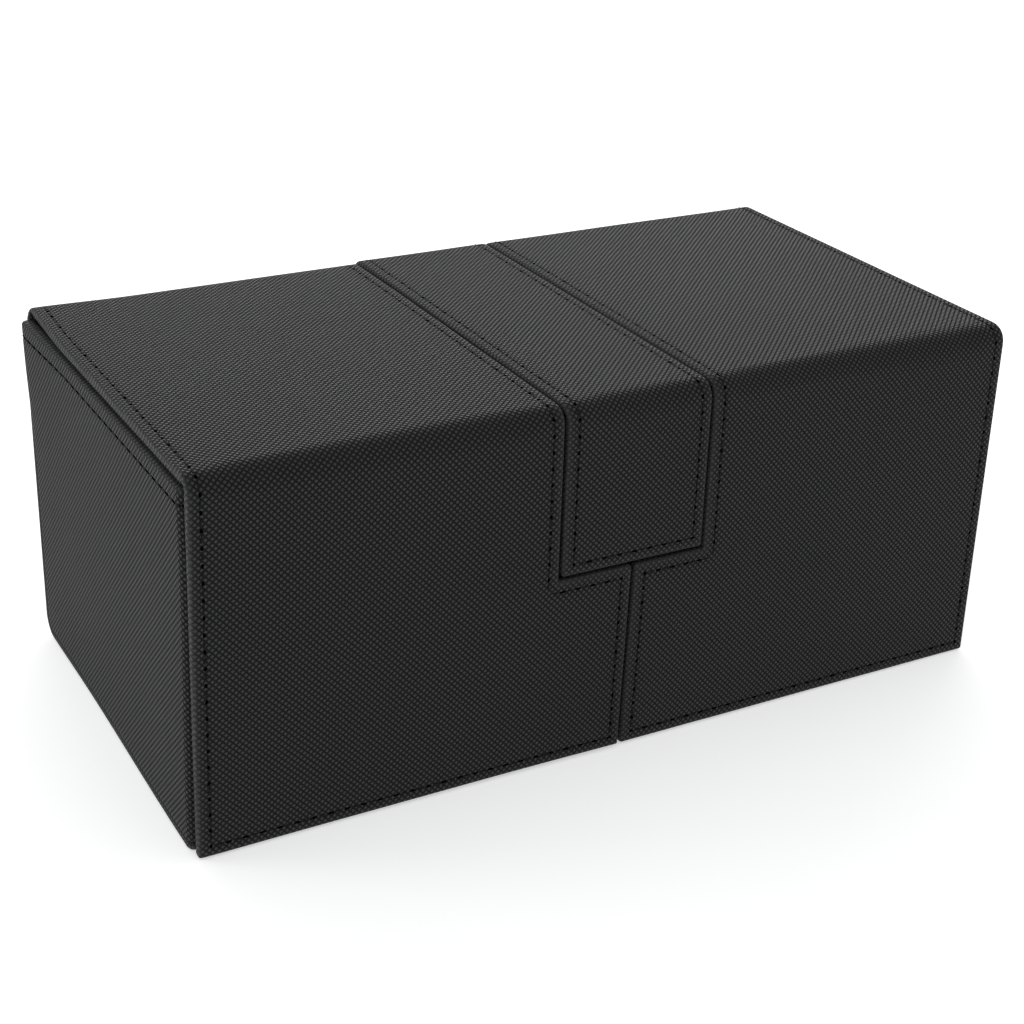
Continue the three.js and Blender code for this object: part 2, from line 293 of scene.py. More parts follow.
def sheet_mesh(name, u_lines, s_lines, keep, distance, channel, place, corners=(),
               corner_radius=CORNER_RADIUS, lattice_turn=0.0, mirror=False, turn_depth=TURN_DEPTH):
    """An embossed sheet over the kept cells of a grid, with its free edges turned over.

    keep(u, s) says whether a cell is part of the sheet, distance(u, s) is how far a point is from a free
    edge, channel(u, s) how far it is from the row of stitches, and place(u, s, n) gives its place.
    """
    U, S = np.meshgrid(u_lines, s_lines, indexing="ij")
    index = -np.ones(U.shape, int)
    faces = []
    for i in range(len(u_lines) - 1):
        for j in range(len(s_lines) - 1):
            if keep((u_lines[i] + u_lines[i + 1]) / 2, (s_lines[j] + s_lines[j + 1]) / 2):
                faces.append([(i, j), (i + 1, j), (i + 1, j + 1), (i, j + 1)])
    used = sorted({c for f in faces for c in f})
    for k, c in enumerate(used):
        index[c] = k
    faces = [[int(index[c]) for c in f] for f in faces]
    u = np.array([U[c] for c in used])
    s = np.array([S[c] for c in used])
    d = distance(u, s)
    to_row = channel(u, s)
    u, s, d = round_corners(u, s, d, corners, corner_radius)
    over = np.clip(1 - d / EDGE_RADIUS, 0, 1)
    n = -EDGE_RADIUS * (1 - np.sqrt(np.clip(1 - over**2, 0, 1)))
    n = n - CHANNEL_DEPTH * np.exp(-((to_row / CHANNEL_WIDTH) ** 2))
    layout, edge = [np.stack([u, s], 1)], [d]
    vertices = [place(u, s, n)]

    # The free edges: outward is the direction in the layout in which each point of them goes over the edge.
    free = {a: b for a, b in border_loops(faces).items() if d[a] < ON_EDGE and d[b] < ON_EDGE}
    ring = sorted(set(free) | set(free.values()))
    slot = {v: k for k, v in enumerate(ring)}
    outward = np.zeros((len(ring), 2))
    for a, b in free.items():
        along = np.array([u[b] - u[a], s[b] - s[a]])
        side = np.array([along[1], -along[0]]) / max(np.linalg.norm(along), 1e-9)
        outward[slot[a]] += side
        outward[slot[b]] += side
    outward /= np.maximum(np.linalg.norm(outward, axis=1, keepdims=True), 1e-9)

    # Down the flank of the board, then round its lower edge.
    flank = turn_depth - 2 * EDGE_RADIUS
    rolled = [(0.0, EDGE_RADIUS + flank / 2), (0.0, EDGE_RADIUS + flank)]
    for angle in (22.5, 45, 67.5, 90):
        a = math.radians(angle)
        rolled.append((EDGE_RADIUS * (1 - math.cos(a)), turn_depth - EDGE_RADIUS * (1 - math.sin(a))))
    base = ring
    ru, rs = u[ring], s[ring]
    for back, depth in rolled:
        first = sum(len(v) for v in vertices)
        fresh = [first + k for k in range(len(ring))]
        reach = depth - EDGE_RADIUS + back
        vertices.append(place(ru - outward[:, 0] * back, rs - outward[:, 1] * back, -depth + 0 * ru))
        layout.append(np.stack([ru + outward[:, 0] * reach, rs + outward[:, 1] * reach], 1))
        edge.append(-reach + 0 * ru)
        for a, b in free.items():
            a, b = slot[a], slot[b]
            faces.append([base[a], fresh[a], fresh[b], base[b]])
        base = fresh

    vertices = np.concatenate(vertices)
    layout = np.concatenate(layout)
    if mirror:
        vertices[:, 0] *= -1
        layout[:, 0] *= -1
        faces = [f[::-1] for f in faces]
    c, t = math.cos(lattice_turn), math.sin(lattice_turn)
    x, y = layout.T
    layout = np.stack([c * x - t * y, t * x + c * y, 0 * x], 1)
    obj = new_object(name, vertices, faces, {"layout": layout, "edge": np.concatenate(edge)})
    outward_facing(obj)
    return thicken(obj, SHEET)


def outward_facing(obj):
    """Turns the faces of an open sheet to face away from the middle of the box."""
    mesh = obj.data
    middle = np.array([0, (FRONT_Y + BACK_Y) / 2, TOP_Z / 2]) * MM
    score = 0.0
    for p in mesh.polygons:
        score += p.area * (np.array(p.center) - middle) @ np.array(p.normal)
    if score < 0:
        mesh.flip_normals()


# ---------------------------------------------------------------- materials

class Nodes:
    """A short way to write a material's nodes."""

    def __init__(self, name):
        self.material = bpy.data.materials.new(name)
        self.material.use_nodes = True
        self.tree = self.material.node_tree
        self.shader = self.tree.nodes["Principled BSDF"]

    def add(self, kind, **values):
        node = self.tree.nodes.new(kind)
        for key, value in values.items():
            setattr(node, key, value)
        return node

    def link(self, out, into):
        self.tree.links.new(out, into)

    def math(self, operation, *inputs):
        node = self.add("ShaderNodeMath", operation=operation)
        for socket, value in zip(node.inputs, inputs):
            if isinstance(value, (int, float)):
                socket.default_value = value
            else:
                self.link(value, socket)
        return node.outputs[0]

    def spread(self, value, from_low, from_high, to_low=0.0, to_high=1.0):
        """value mapped smoothly from one range to another."""
        node = self.add("ShaderNodeMapRange", interpolation_type="SMOOTHSTEP")
        numbers = (from_low, from_high, to_low, to_high)
        self.link(value, node.inputs["Value"])
        for key, number in zip(("From Min", "From Max", "To Min", "To Max"), numbers):
            node.inputs[key].default_value = number
        return node.outputs["Result"]

    def noise(self, vector, scale, detail=3.0, roughness=0.55):
        node = self.add("ShaderNodeTexNoise")
        node.inputs["Scale"].default_value = scale
        node.inputs["Detail"].default_value = detail
        node.inputs["Roughness"].default_value = roughness
        self.link(vector, node.inputs["Vector"])
        return node.outputs["Fac"]

    def mix(self, factor, a, b):
        node = self.add("ShaderNodeMix", data_type="RGBA")
        self.link(factor, node.inputs["Factor"])
        for key, value in (("A", a), ("B", b)):
            socket = [i for i in node.inputs if i.name == key and i.type == "RGBA"][0]
            if isinstance(value, tuple):
                socket.default_value = (*value, 1)
            else:
                self.link(value, socket)
        return [o for o in node.outputs if o.type == "RGBA"][0]

    def attribute(self, name):
        return self.add("ShaderNodeAttribute", attribute_name=name)

    def bump(self, height, distance, under=None):
        node = self.add("ShaderNodeBump")
        node.inputs["Distance"].default_value = distance
        node.inputs["Strength"].default_value = 1.0
        self.link(height, node.inputs["Height"])
        if under is not None:
            self.link(under, node.inputs["Normal"])
        return node.outputs["Normal"]

    def finish(self, color, roughness, normal=None):
        """Sets or links the surface's main values."""
        for value, key in ((color, "Base Color"), (roughness, "Roughness"), (normal, "Normal")):
            if value is None:
                continue
            if isinstance(value, tuple):
                self.shader.inputs[key].default_value = (*value, 1)
            elif isinstance(value, (int, float)):
                self.shader.inputs[key].default_value = value
            else:
                self.link(value, self.shader.inputs[key])
        return self.material


def cover_material():
    """Black synthetic leather embossed with a lattice of small pillows, fainter at its edges. Painted shade
    darkens its grooves, and a painted highlight with some rubbed wear lightens its turned edges.
    """
    m = Nodes("embossed_cover")
    m.shader.inputs["IOR"].default_value = 1.3
    layout = m.attribute("layout").outputs["Vector"]
    edge = m.attribute("edge").outputs["Fac"]

    # Slightly wandering lattice lines.
    parts = m.add("ShaderNodeSeparateXYZ")
    m.link(layout, parts.inputs[0])
    u, s = parts.outputs[0], parts.outputs[1]
    wander = m.math("MULTIPLY", m.math("SUBTRACT", m.noise(layout, 0.05, 2.0), 0.5), 0.5)
    step = EMBOSS_PITCH * math.sqrt(2)
    across = m.math("DIVIDE", m.math("ADD", m.math("ADD", u, s), wander), step)
    down = m.math("DIVIDE", m.math("ADD", m.math("SUBTRACT", u, s), wander), step)

    def ridge(value):
        """1 along the middle of a row of pillows and 0 in the groove beside it."""
        centred = m.math("SUBTRACT", m.math("MULTIPLY", m.math("FRACT", value), 2.0), 1.0)
        return m.math("SUBTRACT", 1.0, m.math("POWER", m.math("ABSOLUTE", centred), 3.0))

    first, second = ridge(across), ridge(down)
    pillow = m.math("MULTIPLY", first, second)
    groove = m.math("SUBTRACT", 1.0, m.math("MULTIPLY", pillow, m.math("MINIMUM", first, second)))
    flattened = m.spread(edge, 0.1, 2.0, 0.58, 1.0)
    relief = m.math("MULTIPLY", pillow, flattened)
    lattice = m.bump(relief, EMBOSS_RELIEF)
    grain = m.noise(layout, 4.0, 4.0, 0.6)
    normal = m.bump(grain, 0.00003, under=lattice)

    patches = m.noise(layout, 0.03, 3.0)
    body = m.mix(patches, (0.025, 0.0252, 0.0262), (0.034, 0.0342, 0.0353))
    # Darker down in the grooves of the emboss: painted shade.
    cover = m.mix(m.math("MULTIPLY", m.spread(groove, 0.1, 0.8), flattened), body, (0.0045, 0.0045, 0.0048))
    # Lighter along the rounded top of each turned edge and down its flank: a painted highlight, with patchy
    # rubbed wear.
    rim = m.math("MULTIPLY", m.spread(edge, 0.8, -0.1), m.spread(edge, -1.5, -0.6))
    highlit_and_rubbed_edge = m.math("MULTIPLY", rim, m.spread(m.noise(layout, 0.6), 0.35, 0.75, 0.5, 1.0))
    color = m.mix(highlit_and_rubbed_edge, cover, (0.04, 0.0402, 0.041))
    rough = m.math("ADD", m.math("MULTIPLY", grain, 0.16), m.spread(groove, 0.1, 0.8, 0.42, 0.85))
    return m.finish(color, rough, normal)


def lining_material():
    """Charcoal microfibre with a short nap."""
    m = Nodes("microfibre_lining")
    m.shader.inputs["Sheen Weight"].default_value = 0.35
    m.shader.inputs["Sheen Roughness"].default_value = 0.5
    m.shader.inputs["IOR"].default_value = 1.25
    place = m.add("ShaderNodeTexCoord").outputs["Object"]
    nap = m.noise(place, 2000.0, 4.0, 0.7)
    strokes = m.noise(place, 38.0, 4.0)
    base = m.mix(m.spread(strokes, 0.38, 0.62), (0.016, 0.0162, 0.0175), (0.03, 0.0303, 0.032))
    color = m.mix(m.spread(nap, 0.42, 0.66), base, (0.05, 0.0505, 0.053))
    return m.finish(color, 0.95, m.bump(nap, 0.0003))


def thread_material():
    """Black polyester sewing thread with a visible twist."""
    m = Nodes("sewing_thread")
    m.shader.inputs["IOR"].default_value = 1.25
    layout = m.attribute("layout").outputs["Vector"]
    parts = m.add("ShaderNodeSeparateXYZ")
    m.link(layout, parts.inputs[0])
    along, around = parts.outputs[0], parts.outputs[1]
    turns = m.math("ADD", m.math("MULTIPLY", along, 14.0), m.math("MULTIPLY", around, 2.0))
    ply = m.math("SINE", turns)
    color = m.mix(m.spread(ply, -1, 1), (0.003, 0.003, 0.0031), (0.008, 0.008, 0.0083))
    return m.finish(color, 0.65, m.bump(ply, 0.00006))


def hole_material():
    """The shade inside a needle hole."""
    m = Nodes("needle_hole")
    m.shader.inputs["Specular IOR Level"].default_value = 0.0
    place = m.add("ShaderNodeTexCoord").outputs["Object"]
    grain = m.noise(place, 3000.0)
    color = m.mix(grain, (0.0008, 0.0008, 0.0008), (0.0016, 0.0016, 0.0016))
    return m.finish(color, 0.9, m.bump(grain, 0.00002))


def board_material():
    """Pressed grey paperboard."""
    m = Nodes("greyboard")
    place = m.add("ShaderNodeTexCoord").outputs["Object"]
    fibre = m.noise(place, 900.0, 5.0, 0.7)
    fleck = m.noise(place, 240.0, 2.0)
    base = m.mix(m.spread(fibre, 0.3, 0.7), (0.19, 0.17, 0.145), (0.29, 0.265, 0.23))
    color = m.mix(m.spread(fleck, 0.6, 0.72), base, (0.12, 0.11, 0.095))
    return m.finish(color, 0.9, m.bump(fibre, 0.00008))


def metal_material(name, tint, roughness):
    """Metal with a fine unevenness."""
    m = Nodes(name)
    m.shader.inputs["Metallic"].default_value = 1.0
    place = m.add("ShaderNodeTexCoord").outputs["Object"]
    brushed = m.noise(place, 700.0, 4.0)
    rough = m.spread(brushed, 0.2, 0.8, roughness * 0.7, roughness * 1.3)
    color = m.mix(brushed, tuple(0.85 * c for c in tint), tint)
    return m.finish(color, rough, m.bump(brushed, 0.00001))


def plastic_material(name, low, high, roughness):
    """Moulded plastic with a fine spark-eroded grain."""
    m = Nodes(name)
    place = m.add("ShaderNodeTexCoord").outputs["Object"]
    grain = m.noise(place, 2200.0, 3.0)
    cloud = m.noise(place, 30.0, 3.0)
    rough = m.math("ADD", m.math("MULTIPLY", cloud, 0.14), roughness)
    return m.finish(m.mix(cloud, low, high), rough, m.bump(grain, 0.00003))


COVER = cover_material()
LINING = lining_material()
THREAD = thread_material()
HOLE_SHADE = hole_material()
BOARD = board_material()
MAGNET = metal_material("nickel_magnet", (0.72, 0.71, 0.69), 0.22)
KEEPER = metal_material("keeper_steel", (0.45, 0.45, 0.46), 0.4)
TRAY = plastic_material("tray_plastic", (0.012, 0.012, 0.013), (0.02, 0.02, 0.021), 0.5)
DIVIDER = plastic_material("divider_plastic", (0.016, 0.016, 0.018), (0.024, 0.024, 0.026), 0.38)


def wear(obj, material):
    obj.data.materials.clear()
    obj.data.materials.append(material)
    return obj


# ---------------------------------------------------------------- stitches

def stitch_row(points):
    """The stitches along a row of straight runs through points (u, s), each as (start, end)."""
    stitches = []
    for a, b in zip(points, points[1:]):
        a, b = np.array(a, float), np.array(b, float)
        length = np.linalg.norm(b - a)
        count = max(1, round(length / STITCH_PITCH))
        for k in range(count):
            stitches.append((a + (b - a) * k / count, a + (b - a) * (k + 1) / count))
    return stitches


def tube_faces(first, rings, sides):
    """Faces of a tube closed at both ends, whose rings of points are numbered from first."""
    faces = []
    for i in range(rings - 1):
        for k in range(sides):
            a, b = first + i * sides + k, first + i * sides + (k + 1) % sides
            faces.append([a, b, b + sides, a + sides])
    faces.append([first + k for k in range(sides)][::-1])
    faces.append([first + (rings - 1) * sides + k for k in range(sides)])
    return faces


def placed_object(name, points, faces, place, mirror, attributes=None):
    """A closed piece made of points (u, s, n) on a sheet."""
    v = np.array(points)
    placed = place(v[:, 0], v[:, 1], v[:, 2])
    if mirror:
        placed[:, 0] *= -1
    obj = new_object(name, placed, faces, attributes)
    recalculate_normals(obj)
    return obj


def stitching(name, rows, place, side=1, mirror=False):
    """Thread lying on a sheet along rows of stitches. side is 1 on the outside and -1 on the lining."""
    points, faces, layout = [], [], []
    rings, sides = 7, 7
    slant = 0.16  # by which the thread crosses its channel
    buried, rise = 0.55, 0.46  # depth of a stitch's ends, and how far its middle comes up from there
    surface = 0 if side > 0 else PANEL
    for start, end in rows:
        along = end - start
        length = np.linalg.norm(along)
        along = along / length
        across = np.array([-along[1], along[0]])
        gap = 0.62 if abs(along[1]) > 0.5 else 0.85  # left free for the needle hole
        first = len(points)
        for i in range(rings):
            t = i / (rings - 1)
            arch = math.sin(math.pi * t)
            centre = start + along * (gap + (length - 2 * gap) * t) + across * slant * (t - 0.5)
            fatness = THREAD_RADIUS * (0.62 + 0.38 * arch**0.5)
            for k in range(sides):
                angle = 2 * math.pi * k / sides
                offset = centre + across * fatness * math.cos(angle)
                height = -buried + rise * arch**0.55 + fatness * math.sin(angle)
                points.append((*offset, side * height - surface))
                layout.append((length * t, angle, 0))
        faces += tube_faces(first, rings, sides)
    obj = placed_object(name, points, faces, place, mirror, {"layout": layout})
    return wear(obj, THREAD)


def needle_hole_shades(name, rows, place, mirror=False, level_reach=0.95):
    """Dark plugs set in the sheet where one stitch ends and the next begins: painted shade in place of open
    needle holes. Where the row is level they are stretched along it, as a painted shadow of the thread.

    level_reach is how far a plug reaches along its row where the row is level."""
    spots = {}
    for start, end in rows:
        along = (end - start) / np.linalg.norm(end - start)
        for p in (start, end):
            spots.setdefault((round(p[0], 2), round(p[1], 2)), (p, along))
    points, faces = [], []
    dome = ((1.0, -0.25), (0.85, -0.09), (0.4, -0.05))  # size and height of its rings
    sides = 10
    for p, along in spots.values():
        across = np.array([-along[1], along[0]])
        level = abs(along[0]) > 0.5
        reach, breadth = (level_reach, 0.36) if level else (0.62, 0.48)
        first = len(points)
        for scale, height in dome:
            for k in range(sides):
                angle = 2 * math.pi * k / sides
                q = p + along * reach * scale * math.cos(angle) + across * breadth * scale * math.sin(angle)
                points.append((*q, height))
        faces += tube_faces(first, len(dome), sides)
    return wear(placed_object(name, points, faces, place, mirror), HOLE_SHADE)


# ---------------------------------------------------------------- lids and flaps

SEAM_Z = TOP_Z - HINGE_RADIUS - 1.4  # on the back, where the hinges begin
SEAM_Y = BACK_Y - 12  # on the lids, behind which the cover belongs to the hinge
LID_PATH = Path(
    (BACK_Y, SEAM_Z),
    90,
    straight(TOP_Z - HINGE_RADIUS - SEAM_Z),
    quarter(HINGE_RADIUS),
    straight(BACK_Y - FRONT_Y - HINGE_RADIUS - FOLD_RADIUS),
    quarter(FOLD_RADIUS),
    straight(TOP_Z - FOLD_RADIUS - FLAP_BOTTOM),
)
HINGE_START = LID_PATH.stretches[1][0]
HINGE_END = LID_PATH.stretches[2][0]
HINGE_FULLNESS = 0.3  # by which the hinges bulge
SWELL = 0.14  # unevenness of the lids
LINING_INSET = 0.95  # from the edge of a lid to its lining
BEND_THINNING = 0.45  # there is no board in the bends, so the lids are thinner there
FOLD_START = LID_PATH.stretches[3][0]
FOLD_END = LID_PATH.stretches[4][0]
PATH_END = LID_PATH.length
SEAM_S = HINGE_END + (BACK_Y - HINGE_RADIUS - SEAM_Y)


def bend_middle(s, start, end):
    """1 in the middle of a bend and 0 from its ends outward."""
    return np.sin(math.pi * np.clip((s - start) / (end - start), 0, 1)) ** 2


def front_s(z):
    """Distance along the path of a height on the front."""
    return FOLD_END + (TOP_Z - FOLD_RADIUS) - z


def soften(p, corner, inward, radius, weight):
    """Pulls points near a sharp corner of the section in to a rounder one of this radius."""
    centre = np.array(corner) + np.array(inward) * radius
    rel = p - centre
    away = (rel * np.array(inward)).max(axis=1) < 0
    length = np.maximum(np.linalg.norm(rel, axis=1), 1e-9)
    rounder = centre + rel * (radius / length)[:, None]
    use = (away & (length > radius)) * weight
    return p + (rounder - p) * use[:, None]


class Lid:
    """One lid with its flap: where a point of its flat cover comes to lie.

    It runs from u = outer to u = inner and ends at s = end. The rest are lengths: front_round and
    back_round are the radii to which its middle is rounded at the fold and the hinge, skew moves the
    flap's outer lower corner along the box, lift brings its inner lower corner forward, sag lowers its
    back edge, curl raises its back outer corner, drift moves the slits beside the strap, slant leans
    the slit below the tongue, and droop lowers the flap's outer and inner lower corners.
    """

    def __init__(self, outer, inner, end, seed, front_round, back_round=0.0, skew=0.0, lift=0.0,
                 sag=0.0, curl=0.0, drift=0.0, slant=0.0, droop=(0.0, 0.0)):
        self.outer, self.inner, self.end = outer, inner, end
        self.seed, self.front_round, self.back_round = seed, front_round, back_round
        self.skew, self.lift, self.sag, self.curl = skew, lift, sag, curl
        self.drift, self.slant, self.droop = drift, slant, droop

    def place(self, u, s, n):
        u, s, n = np.asarray(u, float), np.asarray(s, float), np.asarray(n, float)
        across = (u - self.outer) / (self.inner - self.outer)
        inward = np.clip(across, 0, 1)
        from_outer = np.abs(u - self.outer)
        side_gap = np.minimum(from_outer, np.abs(self.inner - u))
        outside = np.clip(1 + n / 1.2, 0, 1)  # only the outer face is uneven
        swell = SWELL * undulation(u, s, self.seed) * np.clip(side_gap / 8, 0, 1) * np.clip(s / 8, 0, 1)

        # The section: the path, thinner and fuller in the bends, and rounder in the middle than at the sides.
        hinge, fold = bend_middle(s, HINGE_START, HINGE_END), bend_middle(s, FOLD_START, FOLD_END)
        n = np.where(n < 0, n * (1 - BEND_THINNING * (hinge + fold)), n)
        p, normal = LID_PATH.at(s)
        p = p + normal * (n + swell * outside + HINGE_FULLNESS * hinge)[:, None]
        from_seam = smooth((side_gap - STITCH_INSET) / 9)
        p = soften(p, (FRONT_Y, TOP_Z), (1, -1), self.front_round, from_seam * outside)
        p = soften(p, (BACK_Y, TOP_Z), (-1, -1), self.back_round, 0.8 * outside)
        y, z = p.T

        # The lid as it has settled. down and low grow along the flap, behind and back toward the hinge, and
        # the bare numbers are the distances over which an effect fades.
        down = np.clip((s - FOLD_END) / (self.end - FOLD_END), 0, 1)
        low = np.clip((s - front_s(LEDGE_Z)) / (PATH_END - front_s(LEDGE_Z)), 0, 1)
        behind = smooth((HINGE_END + 25 - s) / 30) * np.clip(s / 6, 0, 1)
        back = np.clip((y - 20) / (BACK_Y - 20), 0, 1) ** 2 * smooth((z - WALL_TOP + 4) / 4)
        x = u + self.curl * 1.6 * behind * smooth(1 - from_outer / 30)
        x = x + (self.drift + self.slant * low) * smooth(1 - np.abs(u) / 60)
        x = x + self.skew * down * (1 - inward)
        rise = (self.curl * smooth(1 - from_outer / 26) - self.sag) * back
        z = z + rise * np.clip(1 + n / TURN_DEPTH, 0, 1)
        z = z - (self.droop[0] * (1 - inward) + self.droop[1] * inward) * down**2
        y = y - self.lift * down**2 * np.clip(across, 0, 1.3) ** 2 * outside
        return np.stack([x, y, z], 1)


def side_lid_shape():
    """A side lid with its L-shaped flap, laid out flat, on the left.

    Like strap_shape(), it gives keep, distance, corners, the row of stitches, and the grid's lines."""
    ledge = front_s(LEDGE_Z)

    def keep(u, s):
        return u < -LID_INNER or s > ledge

    def distance(u, s):
        notch = np.hypot(np.maximum(-LID_INNER - u, 0), np.maximum(s - ledge, 0))
        notch = np.where((u > -LID_INNER) & (s < ledge), 0, notch)
        return np.minimum.reduce([u + LID_OUTER, -FLAP_INNER - u, PATH_END - s, notch])

    corners = [
        (-LID_OUTER, PATH_END, 1, -1),
        (-FLAP_INNER, PATH_END, -1, -1),
        (-FLAP_INNER, ledge, -1, 1),
    ]
    i = STITCH_INSET
    row = [
        (-LID_OUTER + i, SEAM_S),
        (-LID_OUTER + i, PATH_END - i),
        (-FLAP_INNER - i, PATH_END - i),
        (-FLAP_INNER - i, ledge + i),
        (-LID_INNER - i, ledge + i),
        (-LID_INNER - i, SEAM_S),
    ]
    u_lines = lines(-LID_OUTER, -LID_INNER, 4.0)
    u_lines = np.concatenate([u_lines, lines(-LID_INNER, -FLAP_INNER, 4.0, from_low=False)[1:]])
    ledge_lines = [ledge] + [ledge + d for d in edge_steps()]
    return keep, distance, corners, row, u_lines, ledge_lines


def strap_shape():
    end = front_s(TONGUE_BOTTOM)

    def keep(u, s):
        return s < end

    def distance(u, s):
        return np.minimum.reduce([u + STRAP_HALF, STRAP_HALF - u, end - s])

    corners = [(-STRAP_HALF, end, 1, -1), (STRAP_HALF, end, -1, -1)]
    i = STITCH_INSET
    row = [
        (-STRAP_HALF + i, SEAM_S),
        (-STRAP_HALF + i, end - i),
        (STRAP_HALF - i, end - i),
        (STRAP_HALF - i, SEAM_S),
    ]
    return keep, distance, corners, row, lines(-STRAP_HALF, STRAP_HALF, 3.0), []


def fold_lines(start, end, steps):
    return [start + (end - start) * k / steps for k in range(steps + 1)]


def build_lid(lid, shape, label, flap_label, lattice_turn=0.0, mirror=False):
    """The covers, linings and stitching of one lid and its flap."""
    keep, distance, corners, row, u_lines, ledge_lines = shape
    front_marks = fold_lines(FOLD_START - 6, FOLD_END + 6, 24) + ledge_lines
    front_marks = [mark for mark in front_marks if mark < lid.end]
    s_front = lines(SEAM_S, lid.end, 4.0, from_low=False, extra=front_marks)
    s_back = lines(0, SEAM_S, 2.5, from_low=False, from_high=False, extra=fold_lines(0, HINGE_END + 2, 20))
    u_back = u_lines[u_lines <= lid.inner + ON_EDGE]
    front_row = stitch_row(row)
    back_row = stitch_row([(row[0][0], 1.0), row[0]]) + stitch_row([row[-1], (row[-1][0], 1.0)])

    def keep_back(u, s):
        return u < lid.inner

    def channel(u, s):
        return np.abs(distance(u, s) - STITCH_INSET)

    cover = sheet_mesh(
        f"{label}_and_{flap_label}_cover", u_lines, s_front, keep, distance, channel, lid.place,
        corners=corners, lattice_turn=lattice_turn, mirror=mirror,
    )
    wear(cover, COVER)
    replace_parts(cover, f"{label}_cover", f"{label}_fold", f"{flap_label}_cover")
    hinge = sheet_mesh(
        f"{label}_hinge_cover", u_back, s_back, keep_back, distance, channel, lid.place,
        lattice_turn=lattice_turn, mirror=mirror,
    )
    wear(hinge, COVER)
    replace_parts(hinge, f"{label}_hinge")

    lining = lining_sheet(f"{label}_and_{flap_label}_lining", u_lines, s_front, keep, distance, lid, mirror)
    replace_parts(lining, f"{label}_lining", f"{flap_label}_lining")
    hinge_lining = lining_sheet(f"{label}_hinge_lining", u_back, s_back, keep_back, distance, lid, mirror)

    # The outside and inside pieces are grouped by bend, the fold's and the hinge's, and each piece's
    # transform is baked.
    over_fold, over_hinge = ([cover], [lining]), ([hinge], [hinge_lining])
    groups = ((front_row, over_fold, flap_label), (back_row, over_hinge, f"{label}_hinge"))
    for rows, (outer, inner), where in groups:
        outer.append(stitching(f"{where}_stitches", rows, lid.place, 1, mirror))
        outer.append(needle_hole_shades(f"{where}_needle_hole_shades", rows, lid.place, mirror))
        inner.append(stitching(f"{where}_inner_stitches", rows, lid.place, -1, mirror))
    for side, depth in enumerate((0, PANEL)):
        for piece in over_fold[side]:
            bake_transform(piece)
        for piece in over_hinge[side]:
            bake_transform(piece)


def lining_sheet(name, u_lines, s_lines, keep, distance, lid, mirror):
    """The microfibre on the inside of a lid and flap, a little short of the turned edge."""
    U, S = np.meshgrid(u_lines, s_lines, indexing="ij")
    index, faces = {}, []
    for i in range(len(u_lines) - 1):
        for j in range(len(s_lines) - 1):
            uc, sc = (u_lines[i] + u_lines[i + 1]) / 2, (s_lines[j] + s_lines[j + 1]) / 2
            if keep(uc, sc) and distance(np.array([uc]), np.array([sc]))[0] > LINING_INSET:
                corners = [(i, j), (i + 1, j), (i + 1, j + 1), (i, j + 1)]
                faces.append([index.setdefault(c, len(index)) for c in corners])
    u = np.array([U[c] for c in index])
    s = np.array([S[c] for c in index])
    d = distance(u, s)
    pinched = 0.2 * np.clip(1 - (d - LINING_INSET) / 0.5, 0, 1)
    pucker = 0.18 * np.exp(-(((d - STITCH_INSET) / CHANNEL_WIDTH) ** 2))
    top = lid.place(u, s, -(TURN_DEPTH + 0.06 + pinched))
    bottom = lid.place(u, s, -(PANEL - pucker - pinched))
    vertices = np.concatenate([top, bottom])
    count = len(u)
    walls = [[a, b, b + count, a + count] for a, b in border_loops(faces).items()]
    all_faces = [f[::-1] for f in faces] + [[v + count for v in f] for f in faces] + walls
    if mirror:
        vertices[:, 0] *= -1
    obj = new_object(name, vertices, all_faces)
    recalculate_normals(obj)
    return wear(obj, LINING)


DRIFT = 0.92  # the strap sits a little right of the middle
SLANT = 1.4  # by which the slit between the flaps leans to the left at its lower end
left = Lid(
    -LID_OUTER, -LID_INNER, PATH_END, seed=1, front_round=6.2, back_round=6.0, skew=-0.9, lift=0.5,
    sag=0.35, curl=0.55, drift=DRIFT, slant=-SLANT, droop=(0.45, 0.1),
)
right = Lid(  # laid out on the left like the other one, then mirrored
    -LID_OUTER, -LID_INNER, PATH_END, seed=4, front_round=6.0, skew=-0.2, lift=0.2,
    drift=-DRIFT, slant=SLANT, droop=(0.55, 0.35),
)
middle = Lid(-STRAP_HALF, STRAP_HALF, front_s(TONGUE_BOTTOM), seed=7, front_round=5.6, drift=DRIFT)

build_lid(left, side_lid_shape(), "left_lid", "left_flap", math.radians(-1.5))
build_lid(right, side_lid_shape(), "right_lid", "right_flap", math.radians(-1.0), mirror=True)
build_lid(middle, strap_shape(), "strap", "tongue", math.radians(-0.6))


def slit_backing(name, x):
    """A strip of microfibre glued over the board behind the lower end of a slit at the back."""
    outer, inner = -0.72, -1.08  # its faces, between the cover and the board
    u_lines, s_lines = np.linspace(x - 3, x + 3, 7), np.linspace(-3, HINGE_START + 0.6, 8)
    U, S = np.meshgrid(u_lines, s_lines, indexing="ij")
    p, normal = LID_PATH.at(S.ravel())
    count, rows = U.size, len(s_lines)
    vertices = [np.column_stack([U.ravel(), p + normal * n]) for n in (outer, inner)]
    cells = [i * rows + j for i in range(len(u_lines) - 1) for j in range(rows - 1)]
    front = [[a, a + rows, a + rows + 1, a + 1] for a in cells]
    back = [[v + count for v in f[::-1]] for f in front]
    rim = [[a, b, b + count, a + count] for a, b in border_loops(front).items()]
    strip = new_object(name, np.concatenate(vertices), front + back + rim)
    recalculate_normals(strip)
    wear(strip, LINING)
    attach(strip, "case")


slit_backing("left_slit_backing", -STRAP_HALF - SLIT / 2 + DRIFT)
slit_backing("right_slit_backing", STRAP_HALF + SLIT / 2 + DRIFT)


# ---------------------------------------------------------------- the case's cover

